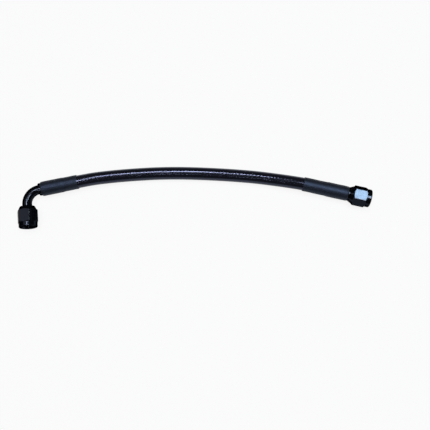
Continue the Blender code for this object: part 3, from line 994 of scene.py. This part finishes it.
def black_anodised(name, marks):
    """Dark bluish anodising over machined aluminium, rubbed thin on its edges."""
    finish = Finish(name, Metallic=1.0, Specular_Tint=ANODISED_TINT)
    grain = finish.grain(14000.0, 260.0)
    rubbed = finish.rubbed(0.5)
    around, along = finish.wrap()
    if marks == "turned":
        depth = finish.effect("tool_marks", Along=along, Marks_per_Metre=9000.0)["Depth"]
    else:
        depth = finish.effect("drawn_lines", Around=around, Along=along, Lines_Round=16.0)["Depth"]
    finish.colour(grain["Clouds"], ANODISED, rubbed, ANODISED_RUBBED)
    finish.roughen(grain["Clouds"], 0.13, 0.17, rubbed, 0.1)
    finish.relief((grain["Grain"], 0.4), (depth, 0.6))
    return finish.material


def satin_shrink():
    """Heat-shrunk tubing: satin black, faintly drawn, a little paler where its ends are cut."""
    finish = Finish("satin_shrink", IOR=1.5, Specular_Tint=SHRINK_TINT)
    grain = finish.grain(5200.0, 210.0)
    rubbed = finish.rubbed(0.8)
    around, along = finish.wrap()
    rates = {"Lines_Round": 9.0, "Breaks_per_Metre": 40.0}
    lines = finish.effect("drawn_lines", Around=around, Along=along, **rates)["Depth"]
    finish.colour(grain["Clouds"], SHRINK, rubbed, SHRINK_CUT)
    finish.roughen(grain["Clouds"], 0.44, 0.50)
    finish.relief((grain["Grain"], 6.0), (lines, 20.0))
    return finish.material


def braided_black():
    """Glossy black cover drawn tight over the braid, so that its strands and wires show, and painted
    darker in its valleys as shade.
    """
    finish = Finish("braided_black", IOR=1.65, Specular_Tint=COVER_TINT)
    grain = finish.grain(9000.0, 120.0)
    around, along = finish.wrap()
    wires = finish.effect("wire_lay", Around=around, Along=along, Wires=float(WIRES_PER_STRAND))
    # Painted shade: the cover is coloured darker where the braid dips between strands
    finish.colour(grain["Clouds"], COVER, wires["Valley"], COVER_VALLEY_SHADE)
    finish.roughen(grain["Clouds"], 0.10, 0.15, wires["Valley"], 0.05)
    finish.relief((wires["Height"], 3.0), (grain["Grain"], 0.5))
    return finish.material


def bare_aluminium():
    """Crimp collars under the sleeves, as they came off the lathe."""
    finish = Finish("bare_aluminium", Metallic=1.0)
    grain = finish.grain(7000.0, 300.0)
    depth = finish.effect("tool_marks", Along=finish.place_parts()[0], Marks_per_Metre=6000.0)["Depth"]
    finish.colour(grain["Clouds"], ALUMINIUM)
    finish.roughen(grain["Clouds"], 0.3, 0.42)
    finish.relief((depth, 6.0))
    return finish.material


def steel_wire():
    """Bright wire braid between the cover and the liner, with painted shade darkening it between its
    strands.
    """
    finish = Finish("steel_wire", Metallic=1.0)
    around, along = finish.place_wrap(38.0)
    wires = finish.effect("wire_lay", Around=around, Along=along, Wires=6.0)
    # Painted shade: the wire's colour turns dark where the braid dips between strands
    finish.colour(wires["Valley"], WIRE_AND_VALLEY_SHADE)
    finish.roughen(wires["Height"], 0.42, 0.24)
    finish.relief((wires["Height"], 50.0))
    return finish.material


def white_liner():
    """Extruded inner tube of the hose."""
    finish = Finish("white_liner", IOR=1.35)
    grain = finish.grain(4000.0, 90.0)
    around, along = finish.place_wrap(30.0)
    rates = {"Lines_Round": 6.0, "Breaks_per_Metre": 20.0}
    lines = finish.effect("drawn_lines", Around=around, Along=along, **rates)["Depth"]
    finish.colour(grain["Clouds"], LINER)
    finish.roughen(grain["Clouds"], 0.33, 0.45)
    finish.relief((lines, 20.0))
    return finish.material


# Camera, floor and lights

def make_camera():
    camera = bpy.data.objects.new("camera", bpy.data.cameras.new("camera"))
    elevation = math.radians(VIEW_ELEVATION)
    back = Vector((0, -math.cos(elevation), math.sin(elevation)))
    camera.location = VIEW_TARGET + back * (VIEW_HEIGHT / math.sin(elevation))
    camera.rotation_euler = (-back).to_track_quat("-Z", "Y").to_euler()
    camera.data.angle = math.radians(VIEW_ANGLE)
    bpy.context.scene.collection.objects.link(camera)
    bpy.context.scene.camera = camera


def seen_white(tree, share):
    """How white a backdrop is made for the camera, and less so for reflections of it."""
    rays = tree.nodes.new("ShaderNodeLightPath").outputs
    direct = math_node(tree, "MULTIPLY", rays["Is Camera Ray"], share)
    bounced = math_node(tree, "MAXIMUM", rays["Is Glossy Ray"], rays["Is Transmission Ray"])
    return math_node(tree, "MAXIMUM", direct, math_node(tree, "MULTIPLY", bounced, GLOW_IN_GLOSS))


def make_floor():
    mesh = bpy.data.meshes.new("floor")
    half = FLOOR_SIZE / 2
    corners = [(-half, -half, 0), (half, -half, 0), (half, half, 0), (-half, half, 0)]
    mesh.from_pydata(corners, [], [(0, 1, 2, 3)])
    floor = add_object("floor", mesh)
    material = bpy.data.materials.new("floor_paper")
    material.use_nodes = True
    tree = material.node_tree
    tree.nodes.clear()
    link = tree.links.new
    paper = tree.nodes.new("ShaderNodeBsdfDiffuse")
    paper.inputs["Color"].default_value = FLOOR_COLOR
    glow = tree.nodes.new("ShaderNodeEmission")
    glow.inputs["Color"].default_value = (1, 1, 1, 1)
    mix = tree.nodes.new("ShaderNodeMixShader")
    out = tree.nodes.new("ShaderNodeOutputMaterial")
    link(seen_white(tree, FLOOR_GLOW_SHARE), mix.inputs[0])
    link(paper.outputs[0], mix.inputs[1])
    link(glow.outputs[0], mix.inputs[2])
    link(mix.outputs[0], out.inputs["Surface"])
    mesh.materials.append(material)


def add_softbox(name, place, width, depth, power, color):
    """An area light that faces the middle of the line, its width along X."""
    light = bpy.data.lights.new(name, "AREA")
    light.shape = "RECTANGLE"
    light.size = width
    light.size_y = depth
    light.energy = power
    light.color = color
    lamp = add_object(name, light)
    lamp.location = place
    backward = Vector(place).normalized()
    sideways = Vector((0, 1, 0)).cross(backward).normalized()
    turn = Matrix((sideways, backward.cross(sideways), backward)).transposed()
    lamp.rotation_euler = turn.to_euler()


def make_studio():
    world = bpy.data.worlds.new("studio")
    bpy.context.scene.world = world
    world.use_nodes = True
    tree = world.node_tree
    background = tree.nodes["Background"]
    background.inputs["Color"].default_value = (1, 1, 1, 1)
    strength = math_node(tree, "MAXIMUM", seen_white(tree, 1.0), WORLD_STRENGTH)
    tree.links.new(strength, background.inputs["Strength"])
    for name, x, y, width, depth, power, color in SOFTBOXES:
        add_softbox(name, (x, y, SOFTBOX_HEIGHT), width, depth, power, color)
    bpy.context.scene.view_settings.view_transform = "Standard"


def dress(name, mesh, material, body, node):
    """Put a finished mesh on its body in place of a CAD node."""
    piece = add_object(name, mesh)
    mesh.materials.clear()
    mesh.materials.append(material)
    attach(piece, body)
    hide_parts(node)
    return piece


def coat(node, material):
    """Give a CAD node that keeps its own mesh a finish."""
    for slot in frame["nodes"][node].material_slots:
        slot.material = material


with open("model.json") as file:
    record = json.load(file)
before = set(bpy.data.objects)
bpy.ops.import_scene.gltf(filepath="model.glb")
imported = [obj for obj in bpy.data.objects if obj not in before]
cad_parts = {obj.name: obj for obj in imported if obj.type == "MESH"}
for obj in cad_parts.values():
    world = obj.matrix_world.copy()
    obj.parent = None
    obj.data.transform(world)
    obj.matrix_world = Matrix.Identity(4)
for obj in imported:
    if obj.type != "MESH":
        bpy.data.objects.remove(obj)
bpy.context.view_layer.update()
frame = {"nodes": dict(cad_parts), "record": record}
joints = {joint["name"]: joint for joint in frame["record"]["behaviour"]["joints"]}
EFFECTS = {
    "fine_grain": fine_grain_group(),
    "rubbed_edges": rubbed_edges_group(),
    "tool_marks": tool_marks_group(),
    "drawn_lines": drawn_lines_group(),
    "wire_lay": wire_lay_group(),
}
make_camera()
make_floor()
make_studio()

points = route_points()
hose_length = sum((b - a).length for a, b in zip(points, points[1:]))
cover = braided_black()
hose_mesh = hose_cover_mesh("hose_cover_braided", points, hose_length, cover)
hose = dress("hose_cover_braided", hose_mesh, cover, "root", "hose_cover")

turned_metal = black_anodised("anodised_turned", "turned")
drawn_metal = black_anodised("anodised_drawn", "drawn")
shrink = satin_shrink()
elbow_mouth = Vector((*ROUTE[0][:2], FITTING_HEIGHT)) * MM
elbow_axis = axis_matrix(elbow_mouth, -heading_vector(ELBOW_HEADING))
straight_mouth = Vector((*ROUTE[-1][:2], FITTING_HEIGHT)) * MM
straight_axis = axis_matrix(straight_mouth, heading_vector(STRAIGHT_HEADING))
nut_axes = {
    end: axis_matrix(Vector(joints[end + "_nut_swivel"]["pos_m"]), joints[end + "_nut_swivel"]["axis"])
    for end in ("elbow", "straight")
}
for end, turned in (("elbow", ELBOW_NUT_TURN), ("straight", STRAIGHT_NUT_TURN)):
    name = end + "_nut_threaded"
    mesh = nut_mesh(name, nut_axes[end], turned)
    dress(name, mesh, turned_metal, end + "_nut", end + "_nut")

sleeves = (
    ("elbow", elbow_axis, ELBOW_SLEEVE_ON_HOSE, ELBOW_SLEEVE_SEED),
    ("straight", straight_axis, STRAIGHT_SLEEVE_ON_HOSE, STRAIGHT_SLEEVE_SEED),
)
for end, axis, on_hose, seed in sleeves:
    name = end + "_sleeve_shrunk"
    mesh = sleeve_mesh(name, axis, on_hose, seed)
    dress(name, mesh, shrink, "root", end + "_sleeve")

fittings = (
    ("elbow_tube", "elbow_tube_smooth", bent_tube_mesh, elbow_axis, drawn_metal),
    ("elbow_stem", "elbow_stem_turned", elbow_stem_mesh, elbow_axis, turned_metal),
    ("elbow_seat", "elbow_seat_turned", elbow_seat_mesh, nut_axes["elbow"], turned_metal),
    ("straight_stem", "straight_stem_turned", straight_stem_mesh, straight_axis, turned_metal),
)
for node, name, make_mesh, axis, material in fittings:
    dress(name, make_mesh(name, axis), material, "root", node)

collar_metal = bare_aluminium()
coat("elbow_collar", collar_metal)
coat("straight_collar", collar_metal)
coat("hose_braid", steel_wire())
coat("hose_liner", white_liner())
